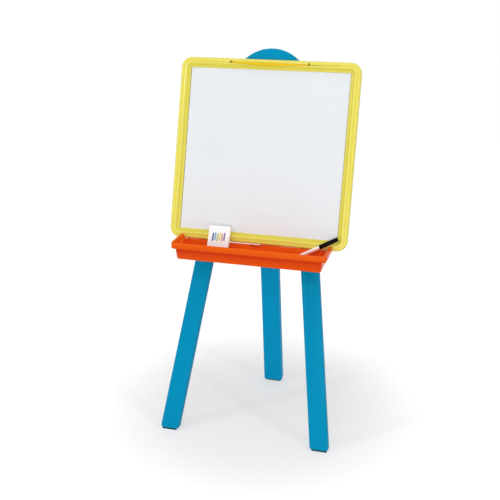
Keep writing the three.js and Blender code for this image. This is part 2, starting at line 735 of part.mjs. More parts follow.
// The marker, drawn upright: barrel, nib and pull-off cap.
const MARKER = { length: 130, cap: 55, radius: 6, barrel: 5, nib: 1.6, tilt: 61.3 };
const MARKER_FOOT = { x: 118, s: 541.3 };

function markerBarrel() {
  const { length, cap, barrel, nib } = MARKER;
  const step = length - cap;
  const nibRoom = nib + GAP;
  const profile = [[0, 0], [barrel - 1, 0], [barrel, 1], [barrel, step - 0.4], [barrel - 0.9, step - 0.2]];
  profile.push([barrel - 1, step + 14], [2.9, step + 20], [2.7, step + 28]);
  profile.push([nibRoom, step + 28], [nibRoom, step + 18], [0, step + 18]);
  return lathe(profile, 14);
}

function markerNib() {
  const { length, cap, nib } = MARKER;
  const seat = length - cap + 18 + GAP;
  return lathe([[0, seat], [nib, seat], [nib, seat + 13], [0.7, seat + 15], [0, seat + 15]], 10);
}

function markerCap() {
  const { length, radius, cap } = MARKER;
  const step = length - cap;
  const bore = radius - 1.25;
  const profile = [
    [bore, step], [radius, step], [radius, length - 1.6], [radius - 1.2, length - 0.3], [0, length],
    [0, length - 3], [bore - 0.6, length - 3],
  ];
  return lathe(profile, 14);
}

function lathe(profile, sides) {
  const points = profile.map((p) => new THREE.Vector2(...p));
  if (profile[0][0] !== 0) points.push(points[0].clone());
  const geometry = new THREE.LatheGeometry(points, sides);
  geometry.rotateX(Math.PI / 2);
  return solid(geometry);
}

// Assembly.
const easel = new THREE.Group();
easel.add(stance);
stance.add(frontPlane, rearPlane);

function addScrew(parent, name, geometry, x, y, z, material = finish.steel) {
  const mesh = piece(name, solid(geometry), material);
  mesh.position.set(x, y, z);
  parent.add(mesh);
}

const leftLeg = flipX(frontLeg());
frontPlane.add(piece("front_leg_right", frontLeg(), finish.legs));
frontPlane.add(piece("front_leg_left", leftLeg, finish.legs));
frontPlane.add(piece("front_sole_right", frontSole(), finish.rubber));
frontPlane.add(piece("front_sole_left", flipX(frontSole()), finish.rubber));
frontPlane.add(piece("head_shell", headFront(), finish.head));
frontPlane.add(piece("head_rear_cover", rearCover(), finish.head));
frontPlane.add(piece("hinge_pin", hingePin(), finish.steel));
headScrewPlaces.forEach(([x, s], i) => {
  const seat = FRONT_LEG.depth + GAP + COVER_THICKNESS - 1.2 + GAP;
  addScrew(frontPlane, `cover_screw_${i + 1}`, screw(1.6, 3.7, 14), x, seat, s);
});

rearPlane.add(piece("rear_leg", rearLeg(), finish.legs));
rearPlane.add(piece("rear_sole", rearSole(), finish.rubber));

stance.add(piece("tray", tray(), finish.tray));
trayScrewPlaces.forEach(([x, s], i) => {
  const seat = trayScrewSeat + GAP;
  addScrew(frontPlane, `tray_screw_right_${i + 1}`, screw(1.65, 4, 14), x, seat, s);
  addScrew(frontPlane, `tray_screw_left_${i + 1}`, screw(1.65, 4, 14), -x, seat, s);
});

const board = new THREE.Group();
board.position.set(0, BOARD_PLANE, BOARD_MIDDLE);
frontPlane.add(board);
board.add(piece("board_frame_front", frameFront(), finish.frame));
board.add(piece("board_frame_back", frameBack(), finish.frame));
board.add(piece("whiteboard_sheet", panel(-PANEL_THICKNESS - 0.15, -0.15), finish.white));
board.add(piece("chalkboard_sheet", panel(0.15, PANEL_THICKNESS + 0.15), finish.slate));
board.add(piece("paper_clip", paperClip(), finish.clip));
frameScrewPlaces.forEach(([x, z], i) => {
  addScrew(board, `frame_screw_${i + 1}`, screw(1.35, 3.4, 14), x, 8 + GAP, z);
});

const carton = new THREE.Group();
carton.rotation.x = -THREE.MathUtils.degToRad(CARTON.lean);
const cartonDrop = CARTON.depth * Math.sin(THREE.MathUtils.degToRad(CARTON.lean));
carton.position.set(CARTON.left, CARTON.foot, TRAY.floor + TRAY.wall + 0.4 + cartonDrop);
stance.add(carton);
carton.add(piece("chalk_carton_sleeve", cartonSleeve(), finish.card));
carton.add(piece("chalk_carton_base", cartonFlap(0.2), finish.card));
carton.add(piece("chalk_carton_lid", cartonFlap(CARTON.height - CARTON.card - 0.2), finish.card));
for (let i = 0; i < STICKS.count; i += 1) {
  const pitch = (CARTON.width - 2 * CARTON.card) / STICKS.count;
  const stick = piece(`chalk_stick_${i + 1}`, chalkStick(), finish.card);
  stick.position.set(CARTON.card + (i + 0.5) * pitch, CARTON.depth / 2, 2.4);
  carton.add(stick);
}

const marker = new THREE.Group();
const frameCrest = BOARD_PLANE - HALF_FRAME;
marker.position.set(MARKER_FOOT.x, frameCrest - MARKER.radius - GAP, MARKER_FOOT.s);
marker.rotation.y = THREE.MathUtils.degToRad(MARKER.tilt);
frontPlane.add(marker);
marker.add(piece("marker_barrel", markerBarrel(), finish.white));
marker.add(piece("marker_nib", markerNib(), finish.black));
marker.add(piece("marker_cap", markerCap(), finish.black));

export default easel;
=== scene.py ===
# A kids easel: three blue plastic legs under a round head, a yellow framed board that lifts off,
# an orange tray across the front legs, a carton of chalk and a marker. Lengths are in metres, in
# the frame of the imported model.
import math

import bpy
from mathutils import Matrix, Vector


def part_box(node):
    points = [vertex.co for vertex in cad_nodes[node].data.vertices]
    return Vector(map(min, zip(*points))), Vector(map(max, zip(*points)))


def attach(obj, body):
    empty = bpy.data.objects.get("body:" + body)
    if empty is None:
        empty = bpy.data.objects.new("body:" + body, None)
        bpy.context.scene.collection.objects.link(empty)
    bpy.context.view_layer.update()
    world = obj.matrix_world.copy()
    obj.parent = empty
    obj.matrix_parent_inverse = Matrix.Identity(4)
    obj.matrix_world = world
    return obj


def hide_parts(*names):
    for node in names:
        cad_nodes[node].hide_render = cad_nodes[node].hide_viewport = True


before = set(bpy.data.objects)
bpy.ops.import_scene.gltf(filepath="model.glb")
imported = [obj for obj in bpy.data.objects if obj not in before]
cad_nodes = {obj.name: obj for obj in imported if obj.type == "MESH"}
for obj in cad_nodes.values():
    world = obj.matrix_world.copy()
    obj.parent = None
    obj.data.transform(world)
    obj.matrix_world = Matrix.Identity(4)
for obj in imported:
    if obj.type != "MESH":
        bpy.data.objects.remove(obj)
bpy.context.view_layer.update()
bpy.ops.object.select_all(action="DESELECT")

# ---------------------------------------------------------------------------------------------
# Camera. A slightly long lens, to the right of the easel and a little above its top.
aim = Vector((0.0238, -0.1979, 0.5871))
backwards = Vector((0.24849, -0.90523, 0.34468)).normalized()
camera_distance = 2.2658
bpy.ops.object.camera_add(location=aim + backwards * camera_distance)
camera = bpy.context.object
camera.rotation_euler = backwards.to_track_quat("Z", "Y").to_euler()
camera.data.lens = 61.83
camera.data.sensor_width = 36
bpy.context.scene.camera = camera
bpy.context.scene.view_settings.view_transform = "Standard"

# ---------------------------------------------------------------------------------------------
# Studio floor. Seamless white paper that keeps the easel's cast shadows, with a painted pool of
# shade
# around them: its own glow, for rays that see it, is weaker under the easel. The glow never lights
# the easel.
bpy.ops.mesh.primitive_plane_add(size=40, location=(0, 0, -0.0004))
floor = bpy.context.object
floor.name = "studio_floor"


def seen_directly(tree):
    """1 for rays from the camera, glossy surfaces and clear ones, and 0 for the others."""
    rays = tree.nodes.new("ShaderNodeLightPath")
    seen = rays.outputs["Is Camera Ray"]
    for kind in ("Is Glossy Ray", "Is Transmission Ray"):
        either = tree.nodes.new("ShaderNodeMath")
        either.operation = "MAXIMUM"
        tree.links.new(seen, either.inputs[0])
        tree.links.new(rays.outputs[kind], either.inputs[1])
        seen = either.outputs[0]
    return seen


paper = bpy.data.materials.new("studio_paper")
paper.use_nodes = True
floor.data.materials.append(paper)
tree = paper.node_tree
surface = tree.nodes["Principled BSDF"]
surface.inputs["Roughness"].default_value = 0.95
surface.inputs["Specular IOR Level"].default_value = 0.1
surface.inputs["Emission Color"].default_value = (1, 1, 1, 1)
place = tree.nodes.new("ShaderNodeTexCoord")
reach = tree.nodes.new("ShaderNodeVectorMath")
reach.operation = "LENGTH"
tree.links.new(place.outputs["Object"], reach.inputs[0])
# The glow is weaker under the easel: a painted pool of shade.
painted_pool_glow = tree.nodes.new("ShaderNodeMapRange")
painted_pool_glow.interpolation_type = "SMOOTHSTEP"
shade_from, shade_to = 0.22, 0.66
shaded_glow, open_glow = 0.465, 0.72
painted_pool_glow.inputs["From Min"].default_value = shade_from
painted_pool_glow.inputs["From Max"].default_value = shade_to
painted_pool_glow.inputs["To Min"].default_value = shaded_glow
painted_pool_glow.inputs["To Max"].default_value = open_glow
tree.links.new(reach.outputs["Value"], painted_pool_glow.inputs["Value"])
seen = seen_directly(tree)
glow = tree.nodes.new("ShaderNodeMath")
glow.operation = "MULTIPLY"
tree.links.new(seen, glow.inputs[0])
tree.links.new(painted_pool_glow.outputs["Result"], glow.inputs[1])
tree.links.new(glow.outputs[0], surface.inputs["Emission Strength"])
tint = tree.nodes.new("ShaderNodeMix")
tint.data_type = "RGBA"
tint.inputs[6].default_value = (0.8, 0.8, 0.8, 1)
tint.inputs[7].default_value = (0.46, 0.46, 0.467, 1)
tree.links.new(seen, tint.inputs[0])
tree.links.new(tint.outputs[2], surface.inputs["Base Color"])


# ---------------------------------------------------------------------------------------------
# Studio lamps. Two small ones in front, left and right, throw the soft shadows of the legs. A
# broad one hangs overhead, and another stands in front for the tray and the lower rail.
def soft_box(name, place, target, size, watts):
    """A round area lamp that faces a target."""
    bpy.ops.object.light_add(type="AREA", location=place)
    light = bpy.context.object
    light.name = name
    towards = Vector(place) - Vector(target)
    light.rotation_euler = towards.to_track_quat("Z", "Y").to_euler()
    light.data.shape = "DISK"
    light.data.size = size
    light.data.energy = watts


soft_box("lamp_left", (-3.2, -2.6, 2.6), (0, 0, 0.6), size=0.42, watts=28)
soft_box("lamp_right", (3.3, -1.9, 2.4), (0, 0, 0.6), size=0.42, watts=22)
soft_box("lamp_above", (-0.1, -0.6, 4.2), (0, 0, 0.4), size=1.7, watts=17)
soft_box("lamp_low", (0.5, -3.6, 0.9), (0, 0, 0.4), size=1.4, watts=30)

studio_air = bpy.data.worlds.new("studio_air")
bpy.context.scene.world = studio_air
studio_air.use_nodes = True
tree = studio_air.node_tree
seen = seen_directly(tree)
fill = tree.nodes.new("ShaderNodeMapRange")
air_light, air_seen = 0.6, 1.0
fill.inputs["To Min"].default_value = air_light
fill.inputs["To Max"].default_value = air_seen
tree.links.new(seen, fill.inputs["Value"])
tree.links.new(fill.outputs["Result"], tree.nodes["Background"].inputs["Strength"])
tree.nodes["Background"].inputs["Color"].default_value = (1, 1, 1, 1)


# ---------------------------------------------------------------------------------------------
# Front legs. Injection-moulded blue plastic channels, ribbed behind, that push up into the
# head. The moulding skin is fine grained, with faint flow marks and a slight unevenness of gloss.
def linear(red, green, blue):
    """An sRGB colour in 0..255 as the linear colour that a socket takes."""
    levels = []
    for level in (red / 255, green / 255, blue / 255):
        low = level / 12.92
        high = ((level + 0.055) / 1.055) ** 2.4
        levels.append(low if level <= 0.04045 else high)
    return (*levels, 1)


def new_group(name, inputs, outputs):
    """A shader node group with its named sockets, and its input and output nodes."""
    group = bpy.data.node_groups.new(name, "ShaderNodeTree")
    for label, kind, value in inputs:
        socket = group.interface.new_socket(label, in_out="INPUT", socket_type="NodeSocket" + kind)
        if value is not None:
            socket.default_value = value
    for label, kind in outputs:
        group.interface.new_socket(label, in_out="OUTPUT", socket_type="NodeSocket" + kind)
    return group, group.nodes.new("NodeGroupInput"), group.nodes.new("NodeGroupOutput")


def noise(tree, vector, scale, detail=2.0, roughness=0.5):
    """A noise pattern at a scale in features per metre, given as a number or a socket."""
    node = tree.nodes.new("ShaderNodeTexNoise")
    node.inputs["Detail"].default_value = detail
    node.inputs["Roughness"].default_value = roughness
    tree.links.new(vector, node.inputs["Vector"])
    if isinstance(scale, (int, float)):
        node.inputs["Scale"].default_value = scale
    else:
        tree.links.new(scale, node.inputs["Scale"])
    return node.outputs["Fac"]


def math_node(tree, operation, first, second=None, third=None, clamp=False):
    """One step of arithmetic on numbers and sockets."""
    node = tree.nodes.new("ShaderNodeMath")
    node.operation = operation
    node.use_clamp = clamp
    for socket, value in zip(node.inputs, (first, second, third)):
        if isinstance(value, (int, float)):
            socket.default_value = value
        elif value is not None:
            tree.links.new(value, socket)
    return node.outputs[0]


def mixed(tree, factor, first, second, blend="MIX"):
    """Two colours blended by a factor, each given as a value or a socket."""
    node = tree.nodes.new("ShaderNodeMix")
    node.data_type = "RGBA"
    node.blend_type = blend
    sockets = (node.inputs[0], node.inputs[6], node.inputs[7])
    for socket, value in zip(sockets, (factor, first, second)):
        if isinstance(value, (int, float, tuple)):
            socket.default_value = value
        else:
            tree.links.new(value, socket)
    return node.outputs[2]


def drawn_out(tree, vector, rotation, scale):
    """A place turned and squeezed, so that a pattern on it is drawn out into streaks."""
    node = tree.nodes.new("ShaderNodeMapping")
    node.inputs["Rotation"].default_value = rotation
    node.inputs["Scale"].default_value = scale
    tree.links.new(vector, node.inputs["Vector"])
    return node.outputs[0]


def spread(tree, value, low, high, to_low=0.0, to_high=1.0):
    """A value from low..high laid out over to_low..to_high, and held there beyond."""
    node = tree.nodes.new("ShaderNodeMapRange")
    node.interpolation_type = "SMOOTHSTEP"
    tree.links.new(value, node.inputs["Value"])
    labels = ("From Min", "From Max", "To Min", "To Max")
    for label, level in zip(labels, (low, high, to_low, to_high)):
        node.inputs[label].default_value = level
    return node.outputs["Result"]


# The skin of a moulding: faint flow marks in the colour, handled patches in the gloss, the
# mould's fine grain, and a few rubbed scratches.
moulding_skin, given, made = new_group(
    "moulding_skin",
    [
        ("Place", "Vector", None),
        ("Colour", "Color", (0.5, 0.5, 0.5, 1)),
        ("Worn Colour", "Color", (0.6, 0.6, 0.6, 1)),
        ("Unevenness", "Float", 0.05),
        ("Gloss", "Float", 0.4),
        ("Grain", "Float", 900.0),
        ("Scuffs", "Float", 0.25),
    ],
    [("Colour", "Color"), ("Roughness", "Float"), ("Height", "Float")],
)
skin_place = given.outputs["Place"]
flow = noise(moulding_skin, skin_place, 7.0, 3.0)
swing = math_node(moulding_skin, "SUBTRACT", flow, 0.5)
tone = math_node(moulding_skin, "MULTIPLY_ADD", swing, given.outputs["Unevenness"], 1.0)
grey = moulding_skin.nodes.new("ShaderNodeCombineColor")
for channel in range(3):
    moulding_skin.links.new(tone, grey.inputs[channel])
toned = mixed(moulding_skin, 1.0, given.outputs["Colour"], grey.outputs[0], "MULTIPLY")
scratch_way = drawn_out(moulding_skin, skin_place, (0.3, 0.5, 0.7), (1.0, 7.0, 1.0))
streaks = noise(moulding_skin, scratch_way, 60.0, 3.0, 0.6)
patches = spread(moulding_skin, noise(moulding_skin, skin_place, 5.0), 0.5, 0.66)
lines = spread(moulding_skin, streaks, 0.66, 0.72)
rubbed = math_node(moulding_skin, "MULTIPLY", lines, patches)
rubbed = math_node(moulding_skin, "MULTIPLY", rubbed, given.outputs["Scuffs"])
worn = mixed(moulding_skin, rubbed, toned, given.outputs["Worn Colour"])
moulding_skin.links.new(worn, made.inputs["Colour"])
handled = noise(moulding_skin, skin_place, 26.0, 4.0)
gloss_swing = math_node(moulding_skin, "MULTIPLY_ADD", handled, 0.16, -0.08)
uneven_gloss = math_node(moulding_skin, "ADD", gloss_swing, given.outputs["Gloss"])
dulled = math_node(moulding_skin, "MULTIPLY_ADD", rubbed, 0.35, uneven_gloss, clamp=True)
moulding_skin.links.new(dulled, made.inputs["Roughness"])
grain = noise(moulding_skin, skin_place, given.outputs["Grain"])
pitted = math_node(moulding_skin, "MULTIPLY_ADD", rubbed, -1.5, grain)
moulding_skin.links.new(pitted, made.inputs["Height"])


def moulded(name, colour, worn, gloss, grain=900.0, depth=0.00003, specular=0.25, scuffs=0.25):
    """A moulded plastic, rubber, card or chalk finish. Depth is that of its grain, in metres."""
    material = bpy.data.materials.new(name)
    material.use_nodes = True
    tree = material.node_tree
    shader = tree.nodes["Principled BSDF"]
    place = tree.nodes.new("ShaderNodeTexCoord")
    skin = tree.nodes.new("ShaderNodeGroup")
    skin.node_tree = moulding_skin
    tree.links.new(place.outputs["Object"], skin.inputs["Place"])
    skin.inputs["Colour"].default_value = colour
    skin.inputs["Worn Colour"].default_value = worn
    skin.inputs["Gloss"].default_value = gloss
    skin.inputs["Grain"].default_value = grain
    skin.inputs["Scuffs"].default_value = scuffs
    bump = tree.nodes.new("ShaderNodeBump")
    bump.inputs["Distance"].default_value = depth
    bump.inputs["Strength"].default_value = 0.6
    tree.links.new(skin.outputs["Height"], bump.inputs["Height"])
    tree.links.new(skin.outputs["Colour"], shader.inputs["Base Color"])
    tree.links.new(skin.outputs["Roughness"], shader.inputs["Roughness"])
    tree.links.new(bump.outputs["Normal"], shader.inputs["Normal"])
    shader.inputs["Specular IOR Level"].default_value = specular
    return material


def only(piece):
    """Leaves one piece selected and active."""
    bpy.ops.object.select_all(action="DESELECT")
    piece.select_set(True)
    bpy.context.view_layer.objects.active = piece


def from_solid(name, node):
    """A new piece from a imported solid's own faces, joined up so that it can be refined."""
    piece = bpy.data.objects.new(name, cad_nodes[node].data.copy())
    bpy.context.scene.collection.objects.link(piece)
    only(piece)
    bpy.ops.mesh.customdata_custom_splitnormals_clear()
    bpy.ops.object.mode_set(mode="EDIT")
    bpy.ops.mesh.select_all(action="SELECT")
    bpy.ops.mesh.remove_doubles(threshold=0.000002)
    bpy.ops.mesh.dissolve_limited(angle_limit=math.radians(1.5))
    bpy.ops.object.mode_set(mode="OBJECT")
    piece.data.materials.clear()
    return piece


def apply_modifier(piece, kind, **settings):
    """Adds a modifier with its settings and applies it."""
    only(piece)
    modifier = piece.modifiers.new(kind.lower(), kind)
    for setting, value in settings.items():
        setattr(modifier, setting, value)
    bpy.ops.object.modifier_apply(modifier=modifier.name)


def soften(piece, width, segments=2, sharper_than=35, smooth_below=40):
    """Rounds a piece's edges a little, as a mould does, and shades it smooth."""
    apply_modifier(
        piece, "BEVEL", width=width, segments=segments, limit_method="ANGLE",
        angle_limit=math.radians(sharper_than), harden_normals=False,
    )
    only(piece)
    bpy.ops.object.shade_smooth_by_angle(angle=math.radians(smooth_below))


leg_blue = moulded("leg_blue", linear(0, 141, 184), linear(40, 165, 205), 0.42, specular=0.04)
for side in ("left", "right"):
    leg = from_solid(f"leg_{side}", f"front_leg_{side}")
    soften(leg, 0.0006)
    leg.data.materials.append(leg_blue)
    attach(leg, "front_frame")
    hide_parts(f"front_leg_{side}")

# ---------------------------------------------------------------------------------------------
# Soles. Dark rubber feet, pressed into the bottom of each leg, that stop the easel from
# sliding on a smooth floor.
rubber = moulded(
    "foot_rubber", linear(18, 42, 54), linear(60, 74, 82), 0.8, grain=500.0, depth=0.0001,
    specular=0.3, scuffs=0.5,
)
for foot, body in (
    ("front_sole_left", "front_frame"),
    ("front_sole_right", "front_frame"),
    ("rear_sole", "rear_leg"),
):
    sole = from_solid(foot.replace("sole", "foot_pad"), foot)
    soften(sole, 0.0004)
    sole.data.materials.append(rubber)
    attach(sole, body)
    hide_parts(foot)

# ---------------------------------------------------------------------------------------------
# Head. One blue moulding with a round top, sockets for the legs, two hooks for the board and
# the fork of the hinge, closed behind by a screwed cover with a hood over the rear leg.
head_blue = moulded("head_blue", linear(0, 144, 190), linear(50, 172, 210), 0.4, specular=0.05)
for name, node, edge in (
    ("head_front", "head_shell", 0.0006),
    ("head_cover", "head_rear_cover", 0.0008),
):
    part = from_solid(name, node)
    soften(part, edge)
    part.data.materials.append(head_blue)
    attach(part, "front_frame")
    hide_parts(node)

# ---------------------------------------------------------------------------------------------
# Rear leg. A third blue channel of the same plastic, given a lighter blue than the front legs as
# painted light, since it faces down and gets less light, and closed at its top by the barrel that
# turns on the hinge pin.
rear = from_solid("leg_rear", "rear_leg")
soften(rear, 0.0006)
# A lighter blue than the front legs' plastic: painted light for a leg that faces down.
rear_leg_painted_lighter = moulded(
    "rear_leg_blue_painted_lighter", linear(0, 151, 199), linear(40, 165, 205), 0.42, specular=0.05
)
rear.data.materials.append(rear_leg_painted_lighter)
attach(rear, "rear_leg")
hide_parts("rear_leg")

# ---------------------------------------------------------------------------------------------
# Tray. A deep orange trough with an overhanging rim, moulded in one piece and screwed to the
# front legs, with a step at the back under the board's lower edge.
tray_floor, rim_top = 0.5186, 0.5683
tray_inner_front = -0.1385


def opened(material):
    """A moulded finish opened up to be added to: its tree, shader, skin and place."""
    tree = material.node_tree
    skin = next(node for node in tree.nodes if node.type == "GROUP")
    place = next(node for node in tree.nodes if node.type == "TEX_COORD")
    return tree, tree.nodes["Principled BSDF"], skin, place.outputs["Object"]


def axes(tree, vector):
    """The X, Y and Z of a place."""
    node = tree.nodes.new("ShaderNodeSeparateXYZ")
    tree.links.new(vector, node.inputs[0])
    return node.outputs


def colour_ramp(tree, factor, stops, interpolation="LINEAR"):
    """Colours laid along a factor from 0 to 1, each stop a position and a colour."""
    node = tree.nodes.new("ShaderNodeValToRGB")
    ramp = node.color_ramp
    ramp.interpolation = interpolation
    while len(ramp.elements) < len(stops):
        ramp.elements.new(0.5)
    for element, (position, colour) in zip(ramp.elements, stops):
        element.position = position
        element.color = colour
    tree.links.new(factor, node.inputs["Fac"])
    return node.outputs["Color"]


tray_orange = moulded(
    "tray_orange", linear(222, 70, 12), linear(240, 125, 70), 0.24, specular=0.06
)
tree, shader, skin, place = opened(tray_orange)
on_tray = axes(tree, place)
# The orange is painted lighter up the rim and near the floor, with a band of painted shade under
# the rim's overhang. Inside, the trough is painted a brighter orange for the light it throws about
# inside itself.
up_wall = spread(tree, on_tray["Z"], tray_floor, rim_top)
up_wall.node.interpolation_type = "LINEAR"
# Painted light and shade by height on the tray.
painted_height_shading = colour_ramp(tree, up_wall, (
    (0.0, linear(232, 86, 4)), (0.35, linear(220, 70, 10)), (0.52, linear(204, 52, 10)),
    (0.625, linear(204, 52, 10)), (0.64, linear(222, 82, 10)), (1.0, linear(238, 102, 10)),
))
behind_front = spread(tree, on_tray["Y"], tray_inner_front - 0.002, tray_inner_front)
over_floor = spread(tree, on_tray["Z"], tray_floor + 0.0009, tray_floor + 0.0019)
inside = math_node(tree, "MULTIPLY", behind_front, over_floor)
# Painted glow inside the trough.
painted_inside_glow = mixed(tree, inside, painted_height_shading, linear(248, 98, 14))
toned_orange = mixed(tree, 0.8, skin.outputs["Colour"], painted_inside_glow)
tree.links.new(toned_orange, shader.inputs["Base Color"])
trough = from_solid("tray_trough", "tray")
soften(trough, 0.0009, segments=3, sharper_than=30, smooth_below=35)
trough.data.materials.append(tray_orange)
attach(trough, "front_frame")
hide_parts("tray")

# ---------------------------------------------------------------------------------------------
# Whiteboard. A white dry-wipe plastic sheet in the front of the board's frame, glossy, with the
# faint haze that a wiper leaves.
lean = math.radians(17)
toe_line = -0.197886  # where the plane of the front legs meets the floor
board_plane = -0.01185  # between the two halves of the board, before it is leaned back
board_middle = 0.8268


def lean_back(*pieces):
    """Turns pieces modelled upright over the floor line back onto the plane of the front legs."""
    for piece in pieces:
        only(piece)
        piece.rotation_euler = (-lean, 0, 0)
        piece.location = (0, toe_line, 0)
        bpy.ops.object.transform_apply(location=True, rotation=True, scale=True)


def mesh_sheet(name, half, front, back, corner):
    """A square sheet with rounded corners, upright on the board's place."""
    bpy.ops.mesh.primitive_plane_add(size=2 * half, location=(0, front, board_middle),
                                     rotation=(math.pi / 2, 0, 0))
    piece = bpy.context.object
    piece.name = name
    bpy.ops.object.transform_apply(location=True, rotation=True, scale=True)
    bpy.ops.object.mode_set(mode="EDIT")
    bpy.ops.mesh.select_all(action="SELECT")
    bpy.ops.mesh.bevel(offset=corner, segments=5, affect="VERTICES")
    bpy.ops.mesh.select_all(action="SELECT")
    bpy.ops.mesh.extrude_region_move(TRANSFORM_OT_translate={"value": (0, back - front, 0)})
    bpy.ops.mesh.select_all(action="SELECT")
    bpy.ops.mesh.normals_make_consistent(inside=False)
    bpy.ops.object.mode_set(mode="OBJECT")
    soften(piece, 0.0002, 1)
    return piece


panel_half, panel_corner = 0.23315, 0.007
panel_face, panel_back = 0.00245, 0.00015
white_sheet = mesh_sheet(
    "whiteboard", panel_half, board_plane - panel_face, board_plane - panel_back, panel_corner
)
lean_back(white_sheet)

board_white = moulded(
    "board_white", linear(228, 232, 235), linear(216, 220, 225), 0.2, grain=300.0,
    depth=0.00001, specular=0.25, scuffs=0.03,
)
tree, shader, skin, place = opened(board_white)
wiped = drawn_out(tree, place, (0, 0.5, 0), (1.6, 1.0, 7.0))
haze = noise(tree, wiped, 4.0, 4.0, 0.6)
haze_amount = spread(tree, haze, 0.4, 0.85, 0.0, 0.2)
hazed = mixed(tree, haze_amount, skin.outputs["Colour"], linear(222, 224, 234))
# A thin dark line on the sheet along the frame's side lips is painted shade, the lip's shadow.
from_middle = math_node(tree, "ABSOLUTE", axes(tree, place)["X"])
lip_shadow_edge = 0.2286
lip_shadow_mask = spread(tree, from_middle, lip_shadow_edge - 0.001, lip_shadow_edge)
lip_shaded = mixed(tree, lip_shadow_mask, hazed, linear(150, 146, 112))
tree.links.new(lip_shaded, shader.inputs["Base Color"])
hazy_gloss = math_node(
    tree, "MULTIPLY_ADD", haze_amount, 0.25, skin.outputs["Roughness"], clamp=True
)
tree.links.new(hazy_gloss, shader.inputs["Roughness"])
white_sheet.data.materials.append(board_white)
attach(white_sheet, "board")
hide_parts("whiteboard_sheet")

# ---------------------------------------------------------------------------------------------
# Chalkboard. A dark sheet with a fine tooth in the back of the frame, for chalk, with the dust
# of the last drawing still rubbed into it.
slate_sheet = mesh_sheet(
    "chalkboard", panel_half, board_plane + panel_face, board_plane + panel_back, panel_corner
)
lean_back(slate_sheet)
slate = moulded(
    "slate", linear(42, 50, 48), linear(120, 126, 124), 0.82, grain=1400.0, depth=0.00006,
    specular=0.2, scuffs=0.2,
)
tree, shader, skin, place = opened(slate)
rubbed_way = drawn_out(tree, place, (0, 0.9, 0), (1.0, 1.0, 4.5))
clouds = noise(tree, rubbed_way, 6.0, 6.0, 0.65)
tooth = noise(tree, place, 2200.0, 1.0)
dust = math_node(tree, "MULTIPLY", spread(tree, clouds, 0.4, 0.8, 0.0, 0.4), tooth)
dusty = mixed(tree, dust, skin.outputs["Colour"], linear(205, 208, 204))
tree.links.new(dusty, shader.inputs["Base Color"])
slate_sheet.data.materials.append(slate)
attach(slate_sheet, "board")
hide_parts("chalkboard_sheet")

# ---------------------------------------------------------------------------------------------
# Frame of the board. Two yellow mouldings, front and back, of a rail with a double crest that
# runs round four wide corners. They clamp the sheets, and screws from behind hold them together.
half_board = 0.2575
board_corner = 0.030
rail_width = 0.028
board_top = board_middle + half_board
# The rail's section in millimetres, from its outer face to its lip: how far in, and how high.
rail = (
    (0, 0.15), (0, 5), (0.2, 6.6), (0.7, 8.2), (1.5, 9.5), (2.6, 10.6), (4.2, 11.3), (5.8, 11.45),
    (7.4, 11.2), (9, 10.75), (10.5, 10.6), (12, 10.75), (13.6, 11.2), (14.8, 11.4), (16, 11.3),
    (17.2, 10.7), (18.3, 9.7), (19.4, 8.2), (20.6, 6.9), (22, 5.9), (24.5, 5.3), (27.1, 4.9),
    (27.8, 4.6), (28, 4.1), (28, 2.68), (24, 2.68), (24, 0.15), (20.8, 0.15), (20.8, 3.4),
    (16.8, 6.8), (3.2, 6.8), (3.2, 0.15),
)


def frame_half(name, side):
    """One half of the frame: the rail's section, swept round the board. side -1 is the front."""
    start = half_board - board_corner
    bpy.ops.mesh.primitive_circle_add(vertices=len(rail), radius=0.01, location=(0, 0, 0))
    half = bpy.context.object
    half.name = name
    for corner, (inset, height) in zip(half.data.vertices, rail):
        corner.co = (
            -half_board + inset / 1000, board_plane + side * height / 1000, board_middle - start,
        )
    bpy.ops.object.mode_set(mode="EDIT")
    bpy.ops.mesh.select_all(action="SELECT")
    way = Vector((1, 0, 0))
    for corner_x, corner_z in ((-1, -1), (1, -1), (1, 1), (-1, 1)):
        pivot = (corner_x * start, board_plane, board_middle + corner_z * start)
        bpy.ops.mesh.spin(steps=9, angle=math.radians(90), center=pivot, axis=(0, 1, 0))
        bpy.ops.mesh.extrude_region_move(TRANSFORM_OT_translate={"value": way * 2 * start})
        way = Vector((-way.z, 0, way.x))
    bpy.ops.mesh.select_all(action="SELECT")
    bpy.ops.mesh.remove_doubles(threshold=0.00002)
    bpy.ops.mesh.normals_make_consistent(inside=False)
    bpy.ops.object.mode_set(mode="OBJECT")
    return half


def cut(piece, tool):
    """Cuts a shape away from a piece."""
    apply_modifier(piece, "BOOLEAN", operation="DIFFERENCE", solver="EXACT", object=tool)
    bpy.data.objects.remove(tool, do_unlink=True)


def block(low, high):
    """A plain block between two corners, to cut with or to shape further."""
    centre = (Vector(low) + Vector(high)) / 2
    bpy.ops.mesh.primitive_cube_add(size=1, location=centre, scale=Vector(high) - Vector(low))
    bpy.ops.object.transform_apply(location=True, rotation=True, scale=True)
    return bpy.context.object


def round_bar(radius, low, high):
    """A plain round bar from one point to another, to cut with or to shape further."""
    low, high = Vector(low), Vector(high)
    way = high - low
    bpy.ops.mesh.primitive_cylinder_add(
        vertices=24, radius=radius, depth=way.length, location=(low + high) / 2,
        rotation=way.to_track_quat("Z", "Y").to_euler(),
    )
    bpy.ops.object.transform_apply(location=True, rotation=True, scale=True)
    return bpy.context.object


